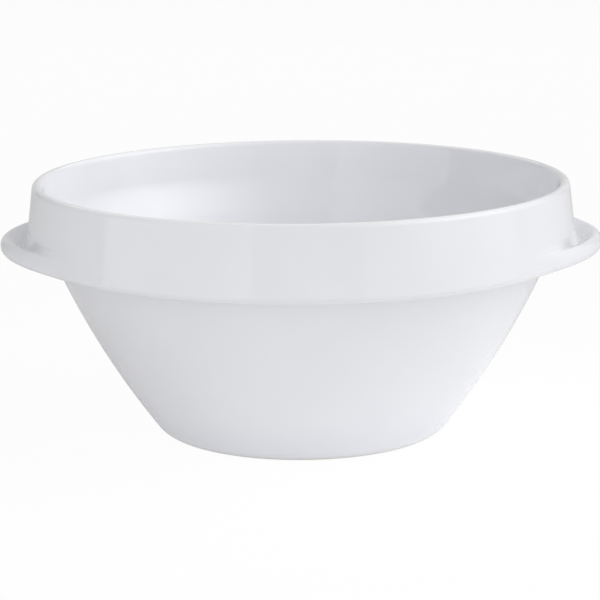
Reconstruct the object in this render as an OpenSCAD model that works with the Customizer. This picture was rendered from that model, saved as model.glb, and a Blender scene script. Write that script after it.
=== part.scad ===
// Onion soup crock: a tapered bowl under an upright collar, with a stacking ledge and two lug handles.
// Millimetres, +Z up. The origin is on the crock's axis, at the surface that the foot stands on.
// The lugs lie along X.

/* [Overall] */
// Height from the foot to the top of the lip
crock_h = 62.5; // [56:0.5:72]
// Diameter across the outside of the lip
rim_d = 131; // [110:0.5:160]

/* [Collar] */
// Height of the upright collar, from the stacking ledge to the top of the lip
collar_h = 17.8; // [15:0.1:22]
// How far the collar's lower edge stands out past the lip
collar_flare = 1.8; // [0.5:0.1:4]
// Width of the ledge under the collar, from the side of the bowl to the collar's outer face
ledge_w = 6.4; // [4.5:0.1:9]
// Thickness of the rounded lip
lip_t = 2.6; // [2:0.1:3.6]
// Rounding of the collar's lower edge
ledge_edge_r = 1.4; // [0.6:0.1:2.2]
// Fillet between the ledge and the side of the bowl
ledge_root_r = 1.2; // [0.6:0.1:1.6]
// Lean of the collar's inside, in degrees from upright, so that it widens to the lip
collar_draft = 10; // [4:0.5:12]
// Height above the ledge at which the inside starts to turn in
shoulder_rise = 9.3; // [7:0.1:12]
// Depth below the ledge at which the inside has joined the side of the bowl
shoulder_drop = 0.6; // [0.2:0.1:2.8]
// Depth below the ledge at which the collar meets the side of the bowl
collar_skirt_h = 3.2; // [3:0.1:5]

/* [Bowl] */
// Radius of the gentle bow of the side, seen from the front
bowl_bow_r = 200; // [160:5:300]
// Thickness of the side
wall_t = 3.6; // [2.8:0.1:4.6]
// Rounding between the side and the foot
heel_r = 6; // [4:0.1:8]

/* [Floor] */
// Thickness of the floor
floor_t = 3.8; // [3:0.1:5]
// Radius of the curve between the floor and the side, inside
floor_curve_r = 12; // [8:0.5:16]
// Straight rise above that curve to where the floor meets the side
floor_seat_h = 0.8; // [0.4:0.1:2]

/* [Foot] */
// Outside diameter of the flat ring that the crock stands on
foot_d = 63; // [58:0.5:68]
// Width of that flat ring
foot_w = 4.2; // [3:0.1:7]
// Height of the foot, which is also the depth of the hollow inside it
foot_h = 1.8; // [1.2:0.1:2.4]
// Rounding of the foot's inner edge
foot_edge_r = 0.7; // [0.3:0.1:1]

/* [Lugs] */
// How far a lug reaches out past the collar's lower edge
lug_reach = 6.35; // [5:0.05:10]
// Angle round the crock from the middle of a lug to where it dies into the collar
lug_half_angle = 40; // [30:1:55]
// Thickness of the lug's rounded outer lip
lug_lip_t = 4.2; // [3.4:0.1:5]
// Lift of the underside of that lip above the ledge
lug_lift = 0.4; // [0:0.05:0.8]
// Height above the ledge at which a lug runs into the collar's face
lug_root_h = 6.8; // [6:0.1:8.5]
// Depth of the thumb hollow between the lip and the collar
lug_hollow_depth = 1.8; // [0.5:0.1:2.4]
// Angle from the middle of a lug to where its hollow has run out
lug_hollow_half_angle = 28; // [20:1:36]

/* [Hidden] */
$fn = 128;

glaze_colour = [0.93, 0.93, 0.95];
bare_colour = [0.87, 0.85, 0.81];

// Number of straight steps that stand for a small rounding, for a long curve, and for a lug along its length
round_steps = 8;
curve_steps = 16;
lug_steps = 44;

// Heights of the ledge and of the floor inside, and the radii of the lip, the collar's lower edge,
// the side just under the ledge and the foot
ledge_z = crock_h - collar_h;
floor_z = foot_h + floor_t;
rim_r = rim_d / 2;
collar_base_r = rim_r + collar_flare;
bowl_top_r = collar_base_r - ledge_w;
foot_r = foot_d / 2;
lip_r = lip_t / 2;

// Points [r, z] on an arc, and on a curve that leaves p along u and arrives at q along v
function arc_points(c, r, from, to, steps) =
    [for (i = [0 : steps]) c + r * [cos(from + (to - from) * i / steps), sin(from + (to - from) * i / steps)]];
function curve_point(p, u, q, v, s) =
    (2 * s^3 - 3 * s^2 + 1) * p + (s^3 - 2 * s^2 + s) * u + (3 * s^2 - 2 * s^3) * q + (s^3 - s^2) * v;
function curve_points(p, u, q, v, steps) = [for (i = [0 : steps]) curve_point(p, u, q, v, i / steps)];
// The same points without the first, where a list goes on from the one before it
function after_first(points) = [for (i = [1 : len(points) - 1]) points[i]];

// The side bows about one centre: its outer face passes through the corner under the ledge
// and runs on smoothly into the rounding of the heel
side_top = [bowl_top_r, ledge_z];
heel_c = [foot_r, heel_r];
heel_bow_r = bowl_bow_r - heel_r;
side_run = norm(side_top - heel_c);
side_dir = (side_top - heel_c) / side_run;
bow_back = (bowl_bow_r^2 - heel_bow_r^2 - side_run^2) / (2 * side_run);
bow_c = heel_c - side_dir * bow_back + [-side_dir[1], side_dir[0]] * sqrt(heel_bow_r^2 - bow_back^2);
inner_bow_r = bowl_bow_r - wall_t;

// Radius of an arc about the bow's centre at a height, and points on it between two heights
function bow_at(bow_r, z) = bow_c[0] + sqrt(bow_r^2 - (z - bow_c[1])^2);
function bow_points(bow_r, from_z, to_z) =
    [for (i = [0 : curve_steps]) let (z = from_z + (to_z - from_z) * i / curve_steps) [bow_at(bow_r, z), z]];

// Heel: from the flat of the foot up to where the bow starts
heel_angle = atan2(heel_c[1] - bow_c[1], heel_c[0] - bow_c[0]);
heel_top_z = bow_c[1] + bowl_bow_r * sin(heel_angle);
heel_split = asin((foot_h - heel_r) / heel_r);

// Curve between the floor and the side, inside
floor_curve_bow_r = inner_bow_r - floor_curve_r;
floor_curve_c = [bow_at(floor_curve_bow_r, floor_z + floor_curve_r), floor_z + floor_curve_r];
floor_curve_angle = atan2(floor_curve_c[1] - bow_c[1], floor_curve_c[0] - bow_c[0]);
floor_curve_top_z = bow_c[1] + inner_bow_r * sin(floor_curve_angle);
floor_seat_z = floor_curve_top_z + floor_seat_h;
collar_seat_z = ledge_z - collar_skirt_h;

// Fillet under the ledge, tangent to the bowed side and to the ledge
root_c = [bow_at(bowl_bow_r + ledge_root_r, ledge_z - ledge_root_r), ledge_z - ledge_root_r];
root_angle = atan2(root_c[1] - bow_c[1], root_c[0] - bow_c[0]);
root_foot_z = bow_c[1] + bowl_bow_r * sin(root_angle);

// Collar's outer face: its lower rounding and the lip, with the straight line tangent to both
edge_c = [collar_base_r - ledge_edge_r, ledge_z + ledge_edge_r];
lip_c = [rim_r - lip_r, crock_h - lip_r];
face_run = lip_c - edge_c;
face_angle = atan2(face_run[1], face_run[0]) - 90 + asin((ledge_edge_r - lip_r) / norm(face_run));
edge_points = arc_points(edge_c, ledge_edge_r, -90, face_angle, round_steps);
lip_points = concat(
    arc_points(lip_c, lip_r, face_angle, 90, round_steps),
    after_first(arc_points(lip_c, lip_r, 90, 180 - collar_draft, round_steps)));
face_foot = edge_points[round_steps];
face_top = lip_points[0];
function face_at(z) = face_foot + (face_top - face_foot) * (z - face_foot[1]) / (face_top[1] - face_foot[1]);

// Inside of the collar: a band that leans out to the lip, and turns softly into the side of the bowl
band_top = lip_points[2 * round_steps];
band_down = [-sin(collar_draft), -cos(collar_draft)];
band_run = (band_top[1] - ledge_z - shoulder_rise) / cos(collar_draft);
shoulder_top = band_top + band_down * band_run;
shoulder_foot = [bow_at(inner_bow_r, ledge_z - shoulder_drop), ledge_z - shoulder_drop];
shoulder_h = shoulder_rise + shoulder_drop;
shoulder_foot_angle = asin((shoulder_foot[1] - bow_c[1]) / inner_bow_r);
shoulder_points = curve_points(
    shoulder_top, band_down * shoulder_h,
    shoulder_foot, shoulder_h * [sin(shoulder_foot_angle), -cos(shoulder_foot_angle)],
    curve_steps);

// Lug section: out along the underside, round the outer lip, over a bed and up the collar's face.
// The bed is a low hollow for the thumb in the middle of the lug, and a soft cove at both ends
cove_place_share = 0.5;
hollow_place_share = 0.74;
hollow_flat_share = 0.5;
lug_crest_pull_share = 0.4;
lug_bed_pull_share = 0.25;
lug_cove_slope = 0.3;
lug_fillet_pull_share = 0.8;
lug_lip_r = lug_lip_t / 2;
lug_lip_c = [collar_base_r + lug_reach - lug_lip_r, ledge_z + lug_lift + lug_lip_r];
lug_lip_foot = lug_lip_c - [0, lug_lip_r];
lug_crest = lug_lip_c + [0, lug_lip_r];
lug_crest_root = face_at(lug_crest[1]);
lug_span = lug_crest[0] - lug_crest_root[0];
lug_top = face_at(ledge_z + lug_root_h);
face_up = (face_top - face_foot) / norm(face_top - face_foot);
under_steps = round_steps / 2;
lug_under_points = [for (i = [0 : under_steps - 1])
    edge_points[0] + (lug_lip_foot - edge_points[0]) * i / under_steps];
lug_lip_points = arc_points(lug_lip_c, lug_lip_r, -90, 90, curve_steps);

// How much of the hollow is left at an angle from the middle of the lug, and the section there
function hollow_left(angle) =
    let (past_flat = abs(angle) / lug_hollow_half_angle - hollow_flat_share,
         t = min(max(past_flat / (1 - hollow_flat_share), 0), 1))
    1 - t^2 * (3 - 2 * t);
function lug_bed(hollow) =
    let (place_share = cove_place_share + (hollow_place_share - cove_place_share) * hollow)
    lug_crest - [lug_span * place_share, lug_hollow_depth * hollow];
function lug_section(hollow) =
    let (bed = lug_bed(hollow),
         bed_pull = lug_span * lug_bed_pull_share * [-1, lug_cove_slope * (1 - hollow)],
         top_pull = face_up * (lug_top[1] - bed[1]) * lug_fillet_pull_share)
    concat(
        lug_under_points,
        lug_lip_points,
        after_first(curve_points(lug_crest, [-lug_span * lug_crest_pull_share, 0], bed, bed_pull, round_steps)),
        after_first(curve_points(bed, bed_pull, lug_top, top_pull, round_steps)));

// The collar's own face in as many points, so that the lug can swell out of it:
// the underside and the lower half of the lip come out of the collar's lower rounding
edge_count = under_steps + curve_steps / 2;
low_face_count = curve_steps / 2;
high_face_count = 2 * round_steps;
lug_root = concat(
    arc_points(edge_c, ledge_edge_r, -90, face_angle, edge_count),
    [for (i = [1 : low_face_count]) face_foot + (lug_crest_root - face_foot) * i / low_face_count],
    [for (i = [1 : high_face_count]) lug_crest_root + (lug_top - lug_crest_root) * i / high_face_count]);

// A lug ends a little before its swell has died away, so that its tips have a thickness
lug_end_share = 0.94;
lug_end_angle = lug_half_angle * lug_end_share;
function swell(angle) = cos(90 * angle / lug_half_angle)^2;
function lug_ring(angle) =
    let (section = lug_section(hollow_left(angle)))
    concat(
        [for (i = [0 : len(lug_root) - 1]) lug_root[i] + (section[i] - lug_root[i]) * swell(angle)],
        [for (i = [edge_count : -1 : 1]) lug_root[i]]);

module foot_ring() {
    color(bare_colour)
        rotate_extrude()
            polygon(concat(
                arc_points(heel_c, heel_r, -90, heel_split, round_steps),
                [[foot_r - foot_w - foot_edge_r, foot_h]],
                arc_points([foot_r - foot_w, foot_edge_r], foot_edge_r, 180, 270, round_steps)));
}

module bowl_floor() {
    color(glaze_colour)
        rotate_extrude()
            polygon(concat(
                [[0, foot_h]],
                arc_points(heel_c, heel_r, heel_split, heel_angle, round_steps),
                after_first(bow_points(bowl_bow_r, heel_top_z, floor_seat_z)),
                bow_points(inner_bow_r, floor_seat_z, floor_curve_top_z),
                after_first(arc_points(floor_curve_c, floor_curve_r, floor_curve_angle, -90, curve_steps)),
                [[0, floor_z]]));
}

module bowl_wall() {
    color(glaze_colour)
        rotate_extrude()
            polygon(concat(
                bow_points(bowl_bow_r, floor_seat_z, collar_seat_z),
                bow_points(inner_bow_r, collar_seat_z, floor_seat_z)));
}

module rim_collar() {
    color(glaze_colour)
        rotate_extrude()
            polygon(concat(
                bow_points(bowl_bow_r, collar_seat_z, root_foot_z),
                after_first(arc_points(root_c, ledge_root_r, root_angle + 180, 90, round_steps)),
                edge_points,
                lip_points,
                shoulder_points,
                after_first(bow_points(inner_bow_r, shoulder_foot[1], collar_seat_z))));
}

// One lug on the +X side, swept round the crock as a skin between the collar's face and the section
module lug() {
    angles = [for (k = [0 : lug_steps]) lug_end_angle * (2 * k / lug_steps - 1)];
    ring_count = len(lug_ring(0));
    points = [for (a = angles) for (p = lug_ring(a)) [p[0] * cos(a), p[0] * sin(a), p[1]]];
    sides = [for (k = [0 : lug_steps - 1]) for (i = [0 : ring_count - 1])
        let (j = (i + 1) % ring_count, near = k * ring_count, far = near + ring_count)
        each [[near + i, far + j, far + i], [near + i, near + j, far + j]]];
    near_cap = [for (i = [ring_count - 1 : -1 : 0]) i];
    far_cap = [for (i = [0 : ring_count - 1]) lug_steps * ring_count + i];
    polyhedron(points, concat(sides, [near_cap, far_cap]));
}

module right_lug_handle() {
    color(glaze_colour) lug();
}

module left_lug_handle() {
    color(glaze_colour) rotate([0, 0, 180]) lug();
}

foot_ring();
bowl_floor();
bowl_wall();
rim_collar();
left_lug_handle();
right_lug_handle();
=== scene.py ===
# %% [markdown]
# A white soup crock with a collar and two lugs.
# The real crock is one piece of porcelain: clay pressed to shape in a spinning mould, with the lugs pressed
# on its rim, then glazed and fired. Here each formed part is a piece of its own, turned on a lathe in
# Blender's way: draw half the outline, spin it round the upright axis. The fixed frame says how large each
# part is and where.

# %% Load the fixed frame
import math

import bpy
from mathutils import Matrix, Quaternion, Vector


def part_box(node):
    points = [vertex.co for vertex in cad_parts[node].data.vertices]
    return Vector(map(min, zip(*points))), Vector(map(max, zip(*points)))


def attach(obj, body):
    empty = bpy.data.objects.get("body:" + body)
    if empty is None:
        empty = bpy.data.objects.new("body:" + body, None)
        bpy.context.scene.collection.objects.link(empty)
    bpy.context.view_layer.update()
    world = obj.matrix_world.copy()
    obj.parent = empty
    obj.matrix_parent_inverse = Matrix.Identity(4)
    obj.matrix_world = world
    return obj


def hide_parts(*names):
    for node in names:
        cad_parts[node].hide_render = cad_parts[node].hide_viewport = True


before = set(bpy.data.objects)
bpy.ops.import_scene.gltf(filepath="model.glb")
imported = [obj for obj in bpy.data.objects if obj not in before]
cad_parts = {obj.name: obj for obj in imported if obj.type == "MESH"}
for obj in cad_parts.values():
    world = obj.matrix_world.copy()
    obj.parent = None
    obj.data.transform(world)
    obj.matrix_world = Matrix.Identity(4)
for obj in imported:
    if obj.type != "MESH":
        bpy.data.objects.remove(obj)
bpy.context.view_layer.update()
print("frame nodes:", sorted(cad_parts))


def mm(value):
    """Millimetres as metres."""
    return value * 0.001


def in_mm(length):
    """Metres as millimetres, rounded for a printed line."""
    return round(length * 1000, 2)


# %% [markdown]
# The camera comes first, because every later choice is judged through it. The crock was seen from a little
# over half a metre with a long lens, about 12 degrees above the level, and the picture leans by half a
# degree. A camera could be aimed with a Track To constraint, but a plain turn of the camera itself is easier
# to read.

# %% Camera
camera_distance = mm(600)
camera_height = mm(158.06)
camera_side = mm(-0.44)
camera_pitch = math.radians(11.87)
camera_roll = math.radians(-0.47)
picture_px = 600
focal_px = 2482.8
sensor_width = 36.0

bpy.ops.object.select_all(action="DESELECT")
bpy.ops.object.camera_add(location=(camera_side, -camera_distance, camera_height))
camera = bpy.context.object
camera.name = "Camera"
camera.data.sensor_width = sensor_width
camera.data.lens = focal_px / picture_px * sensor_width
view_line = Vector((0.0, math.cos(camera_pitch), -math.sin(camera_pitch)))
level_turn = view_line.to_track_quat("-Z", "Y")
camera.rotation_mode = "QUATERNION"
camera.rotation_quaternion = level_turn @ Quaternion((0.0, 0.0, 1.0), camera_roll)
bpy.context.scene.camera = camera
print("camera lens, mm:", round(camera.data.lens, 1))

# %% [markdown]
# The main sizes are read off the frame's parts, so the looks can't drift from the construction. What a box
# can't tell, such as a wall's thickness or a fillet, is named here in millimetres.

# %% Sizes
wall_low, wall_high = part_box("bowl_wall")
lug_low, lug_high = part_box("right_lug_handle")

crock_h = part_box("rim_collar")[1].z
foot_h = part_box("foot_ring")[1].z
floor_seat_z = wall_low.z
collar_seat_z = wall_high.z
ledge_z = lug_low.z
lug_tip_r = lug_high.x

rim_r = mm(65.5)
lip_t = mm(2.6)
collar_base_r = mm(67.3)
ledge_edge_r = mm(1.4)
ledge_root_r = mm(1.2)
collar_draft = math.radians(10)
shoulder_rise = mm(9.3)
shoulder_drop = mm(0.6)

bowl_top_r = mm(60.9)
bowl_bow_r = mm(200)
wall_t = mm(3.6)
heel_r = mm(6)

floor_t = mm(3.8)
floor_curve_r = mm(12)
foot_r = mm(31.5)
foot_w = mm(4.2)
foot_edge_r = mm(0.7)

lug_half_angle = math.radians(40)
lug_lip_r = mm(2.1)
lug_lift = mm(0.4)
lug_root_h = mm(6.8)
lug_hollow_depth = mm(1.8)
lug_hollow_half_angle = math.radians(28)
lug_sink = mm(0.02)
lug_core = mm(0.3)

print("crock height and lug reach, mm:", in_mm(crock_h), in_mm(lug_tip_r))

# %% [markdown]
# An outline is a list of points, each a radius and a height. Round stretches come from two small rules: an
# arc about a centre, and a curve that leaves one point and arrives at another in given directions. They could
# be drawn by eye, but a rule gives an even spacing, and the reflections on glaze show every uneven step.

# %% Outline helpers
short_steps = 4
round_steps = 12
curve_steps = 32
same_place = mm(0.001)


def toward(angle):
    """A step of length one in the outline's plane, at an angle in degrees."""
    return Vector((math.cos(math.radians(angle)), math.sin(math.radians(angle))))


def arc(centre, radius, start, end, steps):
    """Points on an arc, from the start angle to the end angle in degrees."""
    return [centre + radius * toward(start + (end - start) * i / steps) for i in range(steps + 1)]


def curve(start, start_pull, end, end_pull, steps):
    """Points on a smooth curve that leaves start along start_pull and arrives at end along end_pull."""
    points = []
    for i in range(steps + 1):
        s = i / steps
        points.append(
            (2 * s**3 - 3 * s**2 + 1) * start
            + (s**3 - 2 * s**2 + s) * start_pull
            + (3 * s**2 - 2 * s**3) * end
            + (s**3 - s**2) * end_pull
        )
    return points


def line(start, end, steps):
    """Points on a straight line."""
    return [start.lerp(end, i / steps) for i in range(steps + 1)]


def chain(*stretches):
    """Joins stretches of points, leaving out a point that repeats the one before it."""
    points = []
    for stretch in stretches:
        for point in stretch:
            if not points or (point - points[-1]).length > same_place:
                points.append(point)
    return points


def angle_to(point, centre):
    """The angle in degrees at which a point is seen from a centre."""
    return math.degrees(math.atan2(point.y - centre.y, point.x - centre.x))


print("steps in a short, a round and a curved stretch:", short_steps, round_steps, curve_steps)

# %% [markdown]
# The side of the bowl isn't a cone. Its outline bows out a little, as an arc of 200 mm radius that runs on
# into the rounding of the heel, and the inside follows it at the wall's thickness. The bow's centre is where
# two circles cross: it is the bow's radius away from the corner under the ledge, and lies so that the heel's
# circle touches the bow from inside.

# %% The bow of the side
side_top = Vector((bowl_top_r, ledge_z))
heel_c = Vector((foot_r, heel_r))
side_run = side_top - heel_c
side_along = side_run.normalized()
side_across = Vector((-side_along.y, side_along.x))
bow_back = (bowl_bow_r**2 - (bowl_bow_r - heel_r)**2 - side_run.length**2) / (2 * side_run.length)
bow_aside = math.sqrt((bowl_bow_r - heel_r)**2 - bow_back**2)
bow_c = heel_c - side_along * bow_back + side_across * bow_aside
inner_bow_r = bowl_bow_r - wall_t


def bow_at(radius, height):
    """The point of a circle about the bow's centre at a height."""
    return Vector((bow_c.x + math.sqrt(radius**2 - (height - bow_c.y)**2), height))


def bow(radius, start_z, end_z, steps):
    """Points of such a circle between two heights."""
    return [bow_at(radius, start_z + (end_z - start_z) * i / steps) for i in range(steps + 1)]


def bow_height(radius, angle):
    """The height of such a circle at an angle in degrees."""
    return bow_c.y + radius * math.sin(math.radians(angle))


heel_angle = angle_to(heel_c, bow_c)
heel_top_z = bow_height(bowl_bow_r, heel_angle)
print("bow meets the heel at height, mm:", in_mm(heel_top_z))

# %% [markdown]
# Turning a piece: a small plane is merged into one point, the point is pulled out again and again along the
# outline, and the finished outline is swept a full turn. The Spin operator would sweep it too, but a Screw
# modifier does it in one go, closes the turn by itself and is quick with fine outlines. It is applied at
# once, so that the piece keeps plain faces. Doubled points on the axis are then merged, and the faces are
# turned outwards.

# %% Drawing an outline
seed_size = mm(1)


def draw_outline(name, points):
    """Draws a chain of edges through the points, in the plane of X and Z."""
    bpy.ops.object.select_all(action="DESELECT")
    bpy.ops.mesh.primitive_plane_add(size=seed_size, location=(0, 0, 0))
    piece = bpy.context.object
    piece.name = name
    piece.data.name = name
    bpy.ops.object.mode_set(mode="EDIT")
    bpy.ops.mesh.select_all(action="SELECT")
    bpy.ops.mesh.merge(type="CENTER")
    at = Vector((0.0, 0.0))
    for i, point in enumerate(points):
        step = (point.x - at.x, 0.0, point.y - at.y)
        if i == 0:
            bpy.ops.transform.translate(value=step)
        else:
            bpy.ops.mesh.extrude_region_move(TRANSFORM_OT_translate={"value": step})
        at = point
    bpy.ops.object.mode_set(mode="OBJECT")
    return piece


def store(piece, name, values):
    """Keeps one number for each point of a piece."""
    layer = piece.data.attributes.new(name, "FLOAT", "POINT")
    layer.data.foreach_set("value", values)


print("drawing helpers:", [helper.__name__ for helper in (draw_outline, store)])

# %% Turning it
lathe_sides = 288
doubles_reach = mm(0.002)
crisp_angle = math.radians(35)


def sweep(piece, angle, steps):
    """Sweeps the outline round the upright axis with a Screw modifier, which is then applied."""
    screw = piece.modifiers.new("sweep", "SCREW")
    screw.axis = "Z"
    screw.angle = angle
    screw.steps = steps
    screw.render_steps = steps
    screw.use_merge_vertices = angle == math.tau
    bpy.ops.object.modifier_apply(modifier=screw.name)


def close(piece):
    """Merges points that lie on each other, and turns every face outwards."""
    bpy.ops.object.mode_set(mode="EDIT")
    bpy.ops.mesh.select_all(action="SELECT")
    bpy.ops.mesh.remove_doubles(threshold=doubles_reach)
    bpy.ops.mesh.normals_make_consistent(inside=False)
    bpy.ops.object.mode_set(mode="OBJECT")


def smooth(piece):
    """Smooth shading, with the sharper edges kept crisp."""
    bpy.ops.object.select_all(action="DESELECT")
    piece.select_set(True)
    bpy.context.view_layer.objects.active = piece
    bpy.ops.object.shade_smooth_by_angle(angle=crisp_angle)


def turn(name, points, ring):
    """Turns a piece from its outline. A ring's outline closes on itself, the floor's ends on the axis."""
    outline = points + [points[0]] if ring else points
    piece = draw_outline(name, outline)
    sweep(piece, math.tau, lathe_sides)
    close(piece)
    smooth(piece)
    return piece


print("sides in a full turn:", lathe_sides)

# %% [markdown]
# The foot ring lifts the floor off the table. Its outside goes on with the heel's rounding, its underside is
# flat, and its inner edge is eased so that it doesn't chip. It could be bevelled afterwards, but in a turned
# piece a rounding is simplest as an arc in the outline.

# %% Foot ring
foot_split = math.degrees(math.asin((foot_h - heel_r) / heel_r))
foot_outline = chain(
    arc(heel_c, heel_r, -90, foot_split, round_steps),
    [Vector((foot_r - foot_w - foot_edge_r, foot_h))],
    arc(Vector((foot_r - foot_w, foot_edge_r)), foot_edge_r, 180, 270, round_steps),
)
foot_ring = turn("foot_ring_turned", foot_outline, True)
print("foot ring faces:", len(foot_ring.data.polygons))

# %% [markdown]
# The floor is a thick disc. Inside, a wide curve leads up into the side, because a spoon has to reach every
# corner and square corners crack in the kiln. A flat disc with a bevel would do for its top alone, but its
# outside is part of the heel, so it is turned from an outline as well.

# %% Floor
floor_z = foot_h + floor_t
floor_curve_c = bow_at(inner_bow_r - floor_curve_r, floor_z + floor_curve_r)
floor_curve_angle = angle_to(floor_curve_c, bow_c)
floor_curve_top_z = bow_height(inner_bow_r, floor_curve_angle)
under_flat = Vector((0.0, foot_h))
floor_middle = Vector((0.0, floor_z))
floor_edge = Vector((floor_curve_c.x, floor_z))
heel_side = heel_c + heel_r * toward(foot_split)
floor_outline = chain(
    line(under_flat, heel_side, round_steps),
    arc(heel_c, heel_r, foot_split, heel_angle, round_steps),
    bow(bowl_bow_r, heel_top_z, floor_seat_z, round_steps),
    bow(inner_bow_r, floor_seat_z, floor_curve_top_z, short_steps // 2),
    arc(floor_curve_c, floor_curve_r, floor_curve_angle, -90, curve_steps),
    line(floor_edge, floor_middle, round_steps),
)
bowl_floor = turn("bowl_floor_turned", floor_outline, False)
print("floor faces:", len(bowl_floor.data.polygons))

# %% [markdown]
# The side is the plainest piece: two bows at the wall's thickness. A tapered cylinder would be quicker, but
# its straight side would show.

# %% Side of the bowl
wall_outline = chain(
    bow(bowl_bow_r, floor_seat_z, collar_seat_z, curve_steps),
    bow(inner_bow_r, collar_seat_z, floor_seat_z, curve_steps),
)
bowl_wall = turn("bowl_wall_turned", wall_outline, True)
print("side faces:", len(bowl_wall.data.polygons))

# %% [markdown]
# The collar stands out over the bowl. Under it is a flat ledge that rests on the lip of the next crock in a
# stack, with a small fillet where it meets the side. Its outer face leans in by a few degrees and runs into a
# lip that is a half circle. Inside, a band that widens a little to the lip turns softly into the side, with
# no hard corner to hold food. The lip's arcs start and end at the angles of the two faces, so that no kink
# shows in the glaze.

# %% Collar
root_z = ledge_z - ledge_root_r
root_c = bow_at(bowl_bow_r + ledge_root_r, root_z)
root_angle = angle_to(root_c, bow_c)
root_foot_z = bow_height(bowl_bow_r, root_angle)
lip_r = lip_t / 2
edge_c = Vector((collar_base_r - ledge_edge_r, ledge_z + ledge_edge_r))
lip_c = Vector((rim_r - lip_r, crock_h - lip_r))
face_run = lip_c - edge_c
face_turn = math.degrees(math.asin((ledge_edge_r - lip_r) / face_run.length))
face_angle = math.degrees(math.atan2(face_run.y, face_run.x)) - 90 + face_turn
edge_steps = round_steps + curve_steps // 2
edge_points = arc(edge_c, ledge_edge_r, -90, face_angle, edge_steps)
lip_points = chain(
    arc(lip_c, lip_r, face_angle, 90, round_steps),
    arc(lip_c, lip_r, 90, 180 - math.degrees(collar_draft), round_steps),
)
face_foot = edge_points[-1]
face_top = lip_points[0]
root_end = Vector((root_c.x, ledge_z))
draft_down = Vector((-math.sin(collar_draft), -math.cos(collar_draft)))
band_h = lip_points[-1].y - (ledge_z + shoulder_rise)
shoulder_top = lip_points[-1] + draft_down * (band_h / math.cos(collar_draft))
shoulder_foot = bow_at(inner_bow_r, ledge_z - shoulder_drop)
shoulder_h = shoulder_rise + shoulder_drop
shoulder_foot_angle = math.asin((shoulder_foot.y - bow_c.y) / inner_bow_r)
shoulder_dir = Vector((math.sin(shoulder_foot_angle), -math.cos(shoulder_foot_angle)))
collar_outline = chain(
    bow(bowl_bow_r, collar_seat_z, root_foot_z, short_steps),
    arc(root_c, ledge_root_r, root_angle + 180, 90, round_steps),
    line(root_end, edge_points[0], short_steps),
    edge_points,
    line(face_foot, face_top, curve_steps),
    lip_points,
    line(lip_points[-1], shoulder_top, round_steps),
    curve(shoulder_top, draft_down * shoulder_h, shoulder_foot, shoulder_dir * shoulder_h, curve_steps),
    bow(inner_bow_r, shoulder_foot.y, collar_seat_z, short_steps),
)
rim_collar = turn("rim_collar_turned", collar_outline, True)
print("collar faces:", len(rim_collar.data.polygons))

# %% [markdown]
# A lug is a crescent that swells out of the collar's lower edge. Its section has a rounded outer lip for the
# fingers, a bed behind the lip, a soft rise up the collar's face, and an underside that leaves the ledge and
# meets the lip without a kink. In the middle of the lug the bed is a low hollow for the thumb, close to the
# collar. Towards both ends it becomes a plain cove, and where the one turns into the other the real lug shows
# a crease. One section could be used all along, but then the thumb hollow would be missing. So the section is
# a rule that asks how far along the lug it is.

# %% The lug's skin on the collar
under_steps = 12


def face_at(height):
    """The point of the collar's outer face at a height."""
    return face_foot.lerp(face_top, (height - face_foot.y) / (face_top.y - face_foot.y))


lug_lip_c = Vector((lug_tip_r - lug_lip_r, ledge_z + lug_lift + lug_lip_r))
lug_lip_foot = lug_lip_c - Vector((0.0, lug_lip_r))
lug_crest = lug_lip_c + Vector((0.0, lug_lip_r))
face_up = (face_top - face_foot).normalized()


def behind_face(depth):
    """The collar's own skin behind the lug, moved into the collar by a depth."""
    step = depth * Vector((-face_up.y, face_up.x))
    crest_root = face_at(lug_crest.y) + step
    return chain(
        arc(edge_c, ledge_edge_r - depth, -90, face_angle, under_steps + curve_steps // 2),
        line(face_foot + step, crest_root, curve_steps // 2),
        line(crest_root, face_at(ledge_z + lug_root_h) + step, curve_steps),
    )


lug_root = behind_face(lug_sink)
lug_back = behind_face(lug_core)
print("points in the lug's root and back:", len(lug_root), len(lug_back))

# %% The lug's section
cove_place_share = 0.5
hollow_place_share = 0.74
hollow_flat_share = 0.5
crest_pull_share = 0.4
bed_pull_share = 0.25
cove_slope = 0.3
fillet_pull_share = 0.8
lug_span = lug_crest.x - face_at(lug_crest.y).x
under_start = edge_points[0]
under_pull = Vector((lug_lip_foot.x - under_start.x, 0.0))


def hollow_at(angle):
    """How much of the thumb hollow there is at an angle from the lug's middle: 1 in its flat part."""
    flat_angle = lug_hollow_half_angle * hollow_flat_share
    t = min(max((abs(angle) - flat_angle) / (lug_hollow_half_angle - flat_angle), 0.0), 1.0)
    return 1 - t * t * (3 - 2 * t)


def lug_section(angle):
    """The lug's outline at an angle from its middle, before it is let back into the collar."""
    hollow = hollow_at(angle)
    place = cove_place_share * (1 - hollow) + hollow_place_share * hollow
    bed = lug_crest - Vector((lug_span * place, lug_hollow_depth * hollow))
    crest_pull = Vector((-lug_span * crest_pull_share, 0.0))
    bed_pull = lug_span * bed_pull_share * Vector((-1.0, cove_slope * (1 - hollow)))
    top_pull = face_up * (lug_root[-1].y - bed.y) * fillet_pull_share
    return chain(
        curve(under_start, under_pull, lug_lip_foot, under_pull, under_steps),
        arc(lug_lip_c, lug_lip_r, -90, 90, curve_steps),
        curve(lug_crest, crest_pull, bed, bed_pull, curve_steps // 2),
        curve(bed, bed_pull, lug_root[-1], top_pull, curve_steps // 2),
    )


print("points in the lug's section:", len(lug_section(0.0)))

# %% [markdown]
# The lug could be cut out of a ring, but the real one has no edge anywhere: it dies away into the collar on
# both sides. So its middle section is drawn and swept through the lug's angle, and then each point moves to
# its place in the section there, and back towards the collar's face by a share that grows smoothly towards
# both ends. Each point also keeps a share of painted shade, which the glaze reads later to darken the
# creases that end the thumb hollow.

# %% How far the lug stands out, and where its creases get painted shade
crease_shade_evenness = 0.5


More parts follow.
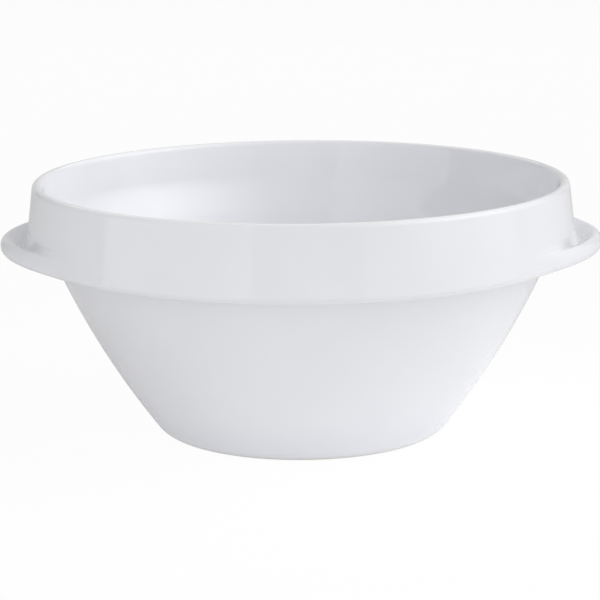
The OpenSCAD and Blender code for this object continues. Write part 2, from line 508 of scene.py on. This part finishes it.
def swell(angle):
    """How much of the lug's section is left at an angle from its middle."""
    if abs(angle) >= lug_half_angle:
        return 0.0
    return math.cos(math.pi / 2 * angle / lug_half_angle)**2


def crease_shade(station, angle):
    """How much painted shade darkens a place along the section: 1 in the creases that end the hollow."""
    crest_station = under_steps + curve_steps
    along = (station - crest_station) / (len(lug_root) - 1 - crest_station)
    if not 0 < along < 1:
        return 0.0
    hollow = hollow_at(angle)
    return 4 * hollow * (1 - hollow) * math.sin(math.pi * along)**crease_shade_evenness


print("share of the lug left a quarter of the way to its end:", round(swell(lug_half_angle / 4), 2))

# %% Lugs
lug_fineness = 4
lug_steps = lug_fineness * round(lug_half_angle / (math.tau / lathe_sides))


def make_lug(name, heading):
    """One lug, with its middle at the heading round the crock."""
    last = len(lug_root) - 1
    stations = list(range(last + 1)) + [-i - 1 for i in range(last, -1, -1)]
    outline = lug_section(0.0) + lug_back[::-1]
    piece = draw_outline(name, outline + [outline[0]])
    store(piece, "station", stations + [0])
    sweep(piece, 2 * lug_half_angle, lug_steps)
    sections = {}
    # The painted shade of the creases, one value for each point.
    glaze = []
    layer = piece.data.attributes["station"].data
    for i, vertex in enumerate(piece.data.vertices):
        station = round(layer[i].value)
        angle = abs(math.atan2(vertex.co.y, vertex.co.x)) - lug_half_angle
        place = round(angle / (2 * lug_half_angle) * lug_steps)
        if place not in sections:
            sections[place] = lug_section(angle)
        if station < 0:
            point = lug_back[-station - 1]
        else:
            point = lug_root[station].lerp(sections[place][station], swell(angle))
        turned = angle + heading
        vertex.co = (point.x * math.cos(turned), point.x * math.sin(turned), point.y)
        glaze.append(crease_shade(station, angle))
    store(piece, "painted_crease_shade", glaze)
    close(piece)
    smooth(piece)
    return piece


right_lug = make_lug("right_lug_pulled", 0.0)
left_lug = make_lug("left_lug_pulled", math.pi)
print("lug faces:", len(right_lug.data.polygons))

# %% [markdown]
# Each new piece moves with the crock's one body and stands for its part of the frame, which is hidden, and
# the glazed pieces are kept apart from the bare foot. The frame's own solids could be shown instead, but they
# have no smooth joins and no painted shade in the lugs' creases.

# %% Pieces on the frame
glazed = {
    "bowl_floor": bowl_floor,
    "bowl_wall": bowl_wall,
    "rim_collar": rim_collar,
    "left_lug_handle": left_lug,
    "right_lug_handle": right_lug,
}
for node, piece in glazed.items():
    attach(piece, "root")
    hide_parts(node)
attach(foot_ring, "root")
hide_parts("foot_ring")
print("pieces that stand for frame nodes:", len(glazed) + 1)

# %% [markdown]
# Both finishes, the table and the room are built from nodes, so a few helpers come first: one feeds a socket,
# and two work out numbers and places. They could be joined by hand in the shader editor, but in a script each
# sum then takes one line.

# %% Node helpers
white = (1, 1, 1)


def new_material(name):
    """An empty node material, with its node tree, its shader and the place on the piece."""
    material = bpy.data.materials.new(name)
    material.use_nodes = True
    tree = material.node_tree
    place = tree.nodes.new("ShaderNodeTexCoord").outputs["Object"]
    return material, tree, tree.nodes["Principled BSDF"], place


def feed(tree, socket, value):
    """Gives a socket a fixed value, or what another node puts out."""
    if isinstance(value, bpy.types.NodeSocket):
        tree.links.new(value, socket)
    else:
        socket.default_value = value


def calculate(tree, operation, *values):
    """Works out a number from others. MULTIPLY_ADD takes a value, a share of it, and what goes on top."""
    node = tree.nodes.new("ShaderNodeMath")
    node.operation = operation
    for socket, value in zip(node.inputs, values):
        feed(tree, socket, value)
    return node.outputs["Value"]


def reckon(tree, operation, place, other=(0, 0, 0)):
    """Works out a place from another, or a number where the operation gives one."""
    node = tree.nodes.new("ShaderNodeVectorMath")
    node.operation = operation
    feed(tree, node.inputs[0], place)
    feed(tree, node.inputs[1], other)
    gives_number = operation in ("LENGTH", "DISTANCE", "DOT_PRODUCT")
    return node.outputs["Value" if gives_number else "Vector"]


print("node helpers:", [helper.__name__ for helper in (new_material, feed, calculate, reckon)])

# %% [markdown]
# A finish is a few patterns on top of each other. A pattern can be painted, but one that is worked out from
# the place on the crock has no seams, and it runs on from piece to piece as one fired surface does. Because
# the crock is round, many of its marks lie on rings: a ring is one radius and one height.

# %% Pattern helpers
cloud_span = (0.3, 0.7)
none_to_all = (0.0, 1.0)
all_to_none = (1.0, 0.0)
bump_unit = mm(1)


def noise(tree, place, size, detail):
    """A cloudy pattern from 0 to 1, with clouds of about a size."""
    node = tree.nodes.new("ShaderNodeTexNoise")
    node.inputs["Scale"].default_value = 1 / size
    node.inputs["Detail"].default_value = detail
    feed(tree, node.inputs["Vector"], place)
    return node.outputs["Fac"]


def spread(tree, value, from_span, to_span):
    """Turns one span of values smoothly into another."""
    node = tree.nodes.new("ShaderNodeMapRange")
    node.interpolation_type = "SMOOTHSTEP"
    node.inputs["From Min"].default_value, node.inputs["From Max"].default_value = from_span
    node.inputs["To Min"].default_value, node.inputs["To Max"].default_value = to_span
    feed(tree, node.inputs["Value"], value)
    return node.outputs["Result"]


def colour_mix(tree, share, first, second):
    """Goes from a first colour to a second one, each a colour or another mix."""
    node = tree.nodes.new("ShaderNodeMix")
    node.data_type = "RGBA"
    feed(tree, node.inputs["Factor"], share)
    for socket, colour in (("A", first), ("B", second)):
        feed(tree, node.inputs[socket], (*colour, 1) if isinstance(colour, tuple) else colour)
    return node.outputs["Result"]


def surface_bump(tree, shader, height_mm):
    """Lets a height in millimetres tilt the surface."""
    bump = tree.nodes.new("ShaderNodeBump")
    bump.inputs["Distance"].default_value = bump_unit
    feed(tree, bump.inputs["Height"], height_mm)
    feed(tree, shader.inputs["Normal"], bump.outputs["Normal"])


print("most of a noise lies in the span:", cloud_span)


# %% Rings round the crock
def radius_and_height(tree, place):
    """The place on the crock as its distance from the axis and its height, and the height alone."""
    flat = reckon(tree, "MULTIPLY", place, (1, 1, 0))
    parts = tree.nodes.new("ShaderNodeSeparateXYZ")
    feed(tree, parts.inputs["Vector"], place)
    both = tree.nodes.new("ShaderNodeCombineXYZ")
    feed(tree, both.inputs["X"], reckon(tree, "LENGTH", flat))
    feed(tree, both.inputs["Y"], parts.outputs["Z"])
    return both.outputs["Vector"], parts.outputs["Z"]


def near_ring(tree, profile, ring, reach):
    """1 on a ring round the crock, falling to 0 at the reach from it."""
    gap = reckon(tree, "DISTANCE", profile, (ring.x, ring.y, 0))
    return spread(tree, gap, (0.0, reach), all_to_none)


floor_bend_out = mm(6)
lip_ring = Vector((lip_c.x, crock_h))
lower_edge_ring = Vector((collar_base_r, ledge_z))
ledge_corner_ring = Vector((bowl_top_r, ledge_z))
floor_bend_ring = Vector((floor_curve_c.x + floor_bend_out, floor_z))
foot_ring_middle = Vector((foot_r - foot_w / 2, 0.0))
print("radius of the lip's ring and of the floor's bend, mm:", in_mm(lip_ring.x), in_mm(floor_bend_ring.x))

# %% [markdown]
# The glaze is a coat of white glass. It could be a white colour with a low roughness, but real glaze tells
# its story in small ways, and they make it look like porcelain and not like plastic. Its tone drifts a little
# from place to place. It runs thin over the lip and the collar's lower edge, where the warmer clay shows
# through. Under the ledge and in the curve of the floor it has the cooler tint of gathered glaze, painted
# darker too as painted shade, and the creases of the lugs get a darker painted shade. Its surface has a slow
# ripple from the firing and a fine one from the glaze itself, which soften the reflections.

# %% Colours of the glaze
glaze_pale = (0.822, 0.826, 0.855)
glaze_drift = (0.797, 0.802, 0.835)
glaze_thin = (0.800, 0.795, 0.800)
# Cool tint of gathered glaze under the ledge and in the floor's bend, darkened as painted shade.
glaze_pooled_and_shaded = (0.755, 0.768, 0.812)
# Painted shade for the creases of the lugs.
glaze_painted_crease_shade = (0.71, 0.72, 0.755)
drift_cloud = mm(40)
thin_share = 0.6
thin_reaches = ((lip_ring, mm(1.5)), (lower_edge_ring, mm(1.6)))
pooled_and_shade_share = 0.5
pooled_and_shade_reaches = ((ledge_corner_ring, mm(2.6)), (floor_bend_ring, mm(12)))

material, tree, shader, place = new_material("white_glaze")
profile, _ = radius_and_height(tree, place)
drift = spread(tree, noise(tree, place, drift_cloud, detail=3), cloud_span, none_to_all)
colour = colour_mix(tree, drift, glaze_pale, glaze_drift)
for rings, share, tone in ((thin_reaches, thin_share, glaze_thin), (pooled_and_shade_reaches, pooled_and_shade_share, glaze_pooled_and_shaded)):
    for ring, reach in rings:
        near = near_ring(tree, profile, ring, reach)
        colour = colour_mix(tree, calculate(tree, "MULTIPLY", near, share), colour, tone)
# The lugs' creases are darkened by the painted shade stored on their points.
crease = tree.nodes.new("ShaderNodeAttribute")
crease.attribute_name = "painted_crease_shade"
colour = colour_mix(tree, crease.outputs["Fac"], colour, glaze_painted_crease_shade)
feed(tree, shader.inputs["Base Color"], colour)
print("nodes for the glaze's colour:", len(tree.nodes))

# %% Gloss and ripple of the glaze
glaze_roughness = (0.05, 0.08)
sheen_cloud = mm(22)
slow_ripple = mm(17)
slow_ripple_h_mm = 0.012
fine_ripple = mm(3.5)
fine_ripple_h_mm = 0.0015

sheen_drift = spread(tree, noise(tree, place, sheen_cloud, detail=2), cloud_span, glaze_roughness)
feed(tree, shader.inputs["Roughness"], sheen_drift)
fine = calculate(tree, "MULTIPLY", noise(tree, place, fine_ripple, detail=2), fine_ripple_h_mm)
slow_noise = noise(tree, place, slow_ripple, detail=2)
surface_bump(tree, shader, calculate(tree, "MULTIPLY_ADD", slow_noise, slow_ripple_h_mm, fine))
for piece in glazed.values():
    piece.data.materials.append(material)
print("glaze nodes:", len(tree.nodes))

# %% [markdown]
# The foot is wiped clean of glaze, or it would stick to the kiln shelf, and then rubbed smooth. It could be a
# piece of one colour, but the wipe never follows an exact line: the glaze ends in a slightly wavy edge a
# little above the table. Below it is bare clay with a fine grain, a few darker specks, and a band that
# shelves and tables have greyed.

# %% Colours of the bare foot
clay = (0.77, 0.75, 0.71)
clay_speck = (0.60, 0.57, 0.52)
clay_worn = (0.66, 0.64, 0.60)
speck_size = mm(0.35)
speck_span = (0.68, 0.74)
speck_share = (0.0, 0.8)
wear_reach_share = 0.55
scuff_size = mm(2.5)
scuff_span = (0.35, 0.65)
scuff_share = (0.25, 0.9)

material, tree, shader, place = new_material("bare_foot")
profile, height = radius_and_height(tree, place)
specks = spread(tree, noise(tree, place, speck_size, detail=1), speck_span, speck_share)
wear = near_ring(tree, profile, foot_ring_middle, foot_w * wear_reach_share)
scuffs = spread(tree, noise(tree, place, scuff_size, detail=5), scuff_span, scuff_share)
colour = colour_mix(tree, specks, clay, clay_speck)
colour = colour_mix(tree, calculate(tree, "MULTIPLY", wear, scuffs), colour, clay_worn)
print("nodes for the clay's colour:", len(tree.nodes))

# %% The glaze's wavy edge, and the clay's grain
glaze_line_h = mm(0.8)
glaze_line_soft = mm(0.15)
wave_size = mm(9)
wave_h = mm(0.7)
foot_roughness = (0.62, 0.14)
grain_size = mm(0.5)
grain_h_mm = (0.02, 0.0)
glaze_coat_mm = 0.05

wave = calculate(tree, "MULTIPLY_ADD", noise(tree, place, wave_size, detail=3), -wave_h, wave_h / 2)
lifted = calculate(tree, "ADD", height, wave)
glaze_share = spread(tree, lifted, (glaze_line_h, glaze_line_h + glaze_line_soft), none_to_all)
feed(tree, shader.inputs["Base Color"], colour_mix(tree, glaze_share, colour, glaze_drift))
feed(tree, shader.inputs["Roughness"], spread(tree, glaze_share, none_to_all, foot_roughness))
grain_h = spread(tree, glaze_share, none_to_all, grain_h_mm)
grain = calculate(tree, "MULTIPLY", noise(tree, place, grain_size, detail=4), grain_h)
surface_bump(tree, shader, calculate(tree, "MULTIPLY_ADD", glaze_share, glaze_coat_mm, grain))
foot_ring.data.materials.append(material)
print("bare foot nodes:", len(tree.nodes))

# %% [markdown]
# The crock stands on a white table that the picture shows as pure white. More light could burn it out, but
# that would burn out the crock too. So the camera is shown almost pure white in place of the table, with a
# little of the real surface left in, which keeps a trace of the crock's shadow. For everything else the table
# is a pale matt board, with only a trace of that white in its mirror image in the glaze. Its colour is
# painted darker further out, as painted shade, and near the crock it has a painted glow that lights the
# crock's lower side, most of all in front of it and to its right. It lies a hair under the foot, because two
# faces in one place would flicker.

# %% Table
table_size = 6
table_gap = mm(0.05)
table_roughness = 0.9
table_white_share = 0.95
table_mirror_share = 0.05
# A painted glow near the crock, which lights its lower side.
table_painted_glow = 0.26
table_painted_glow_middle = (mm(50), mm(-45), 0)
table_painted_glow_span = (mm(30), mm(180))
table_near = (0.75, 0.75, 0.75)
# The board's colour further out is painted darker, as painted shade.
table_far_painted_shade = (0.58, 0.58, 0.58)
table_pale_span = (mm(90), mm(300))

bpy.ops.object.select_all(action="DESELECT")
bpy.ops.mesh.primitive_plane_add(size=table_size, location=(0, 0, -table_gap))
table = bpy.context.object
table.name = "table"
material, tree, shader, place = new_material("table_white")
shader.inputs["Roughness"].default_value = table_roughness
shader.inputs["Emission Color"].default_value = (*white, 1)
away = reckon(tree, "LENGTH", reckon(tree, "SUBTRACT", place, table_painted_glow_middle))
feed(tree, shader.inputs["Emission Strength"], spread(tree, away, table_painted_glow_span, (table_painted_glow, 0.0)))
far = spread(tree, away, table_pale_span, none_to_all)
feed(tree, shader.inputs["Base Color"], colour_mix(tree, far, table_near, table_far_painted_shade))
shown = tree.nodes.new("ShaderNodeEmission")
shown.inputs["Strength"].default_value = 1.0
path = tree.nodes.new("ShaderNodeLightPath")
mirrored = calculate(tree, "MULTIPLY", path.outputs["Is Glossy Ray"], table_mirror_share)
mix = tree.nodes.new("ShaderNodeMixShader")
shown_share = calculate(tree, "MULTIPLY_ADD", path.outputs["Is Camera Ray"], table_white_share, mirrored)
feed(tree, mix.inputs["Fac"], shown_share)
feed(tree, mix.inputs[1], shader.outputs["BSDF"])
feed(tree, mix.inputs[2], shown.outputs["Emission"])
feed(tree, tree.nodes["Material Output"].inputs["Surface"], mix.outputs["Shader"])
table.data.materials.append(material)
print("table glow reaches, mm:", in_mm(table_painted_glow_span[1]))

# %% [markdown]
# The room is a pale tent with three soft bright places: a strong one high on the right, one low behind the
# camera and a faint one low on the left. Real lamps could stand there, but broad light without edges is
# simpler to draw on the room itself. Each bright place is the share of a direction that points its way,
# raised to a power: the higher the power, the narrower the place. Its numbers are the degrees to the right of
# the camera's side, the degrees above the table, the power and the strength.

# %% Room light
room_level = 0.34
high_right = (90, 40, 8.0, 2.5)
low_behind_camera = (0, 5, 10.0, 0.85)
low_left = (-90, 5, 10.0, 0.1)
bright_places = (high_right, low_behind_camera, low_left)
shown_level = 1.0

world = bpy.data.worlds.new("studio")
bpy.context.scene.world = world
world.use_nodes = True
tree = world.node_tree
way = tree.nodes.new("ShaderNodeTexCoord").outputs["Generated"]
level = room_level
for side, rise, narrowness, brightness in bright_places:
    turned = math.radians(side)
    raised = math.radians(rise)
    middle = (
        math.sin(turned) * math.cos(raised),
        -math.cos(turned) * math.cos(raised),
        math.sin(raised),
    )
    ahead = calculate(tree, "MAXIMUM", reckon(tree, "DOT_PRODUCT", way, middle), 0.0)
    level = calculate(tree, "MULTIPLY_ADD", calculate(tree, "POWER", ahead, narrowness), brightness, level)
path = tree.nodes.new("ShaderNodeLightPath")
seen = calculate(tree, "MAXIMUM", path.outputs["Is Camera Ray"], path.outputs["Is Transmission Ray"])
pick = tree.nodes.new("ShaderNodeMix")
feed(tree, pick.inputs["Factor"], seen)
feed(tree, pick.inputs["A"], level)
feed(tree, pick.inputs["B"], shown_level)
background = tree.nodes["Background"]
background.inputs["Color"].default_value = (*white, 1)
feed(tree, background.inputs["Strength"], pick.outputs["Result"])
print("bright places in the room:", len(bright_places))


# %% [markdown]
# The glaze shows the straight edges of softboxes: a bright one on the left that ends beside the camera, and a
# long one on the right that starts on the camera's other side and is drawn as two. They could be painted on
# the room too, but a lamp with a size casts the soft shadows of a real one and shows up in the glaze as a
# clean upright band. A weaker one stands behind the crock and lights its lugs and lip from the back, and one
# hangs above that.

# %% Softbox helpers
def softbox(name, middle, facing, size, brightness):
    """A softbox as a rectangle of light, which the camera itself doesn't see."""
    bpy.ops.object.select_all(action="DESELECT")
    bpy.ops.object.light_add(type="AREA", location=middle)
    lamp = bpy.context.object
    lamp.name = name
    lamp.data.shape = "RECTANGLE"
    lamp.data.size = size[0]
    lamp.data.size_y = size[1]
    lamp.data.energy = math.pi * size[0] * size[1] * brightness
    lamp.rotation_mode = "QUATERNION"
    lamp.rotation_quaternion = Vector(facing).to_track_quat("-Z", "Y")
    lamp.visible_camera = False
    return lamp


def upright_softbox(name, corner_a, corner_b, top, brightness):
    """A softbox that stands over the line between two places on the table, facing the crock."""
    a = Vector((corner_a[0], corner_a[1], 0.0))
    b = Vector((corner_b[0], corner_b[1], 0.0))
    along = (b - a).normalized()
    facing = Vector((-along.y, along.x, 0.0))
    middle = (a + b) / 2 + Vector((0.0, 0.0, top / 2))
    if facing.dot(middle) > 0:
        facing = -facing
    return softbox(name, middle, facing, ((b - a).length, top), brightness)


print("softbox helpers:", [helper.__name__ for helper in (softbox, upright_softbox)])

# %% Softboxes
left_side = (-0.365, -0.064)
left_of_camera = (-0.153, -0.455)
right_of_camera = (0.313, -0.704)
right_side = (0.80, 0.06)
right_rear = (0.55, 0.60)
rear_left_end = (-0.5, 0.9)
rear_right_end = (0.5, 0.9)
low_top = 0.64
tall_top = 0.9
above_rear = (0.0, 0.7, 0.8)
down_to_crock = (0.0, -0.6, -0.8)
above_size = (1.2, 0.8)

upright_softbox("left_softbox", left_side, left_of_camera, low_top, brightness=0.8)
upright_softbox("right_softbox", right_of_camera, right_side, tall_top, brightness=0.46)
upright_softbox("right_rear_softbox", right_side, right_rear, tall_top, brightness=0.12)
upright_softbox("back_softbox", rear_left_end, rear_right_end, tall_top, brightness=0.25)
softbox("top_softbox", above_rear, down_to_crock, above_size, brightness=0.55)

# %% [markdown]
# The picture is shown as it is: the Standard view keeps a white crock white and doesn't roll its light tones
# off, which the softer film-like views would do.

# %% Picture settings
bpy.context.scene.view_settings.view_transform = "Standard"
print("view:", bpy.context.scene.view_settings.view_transform)
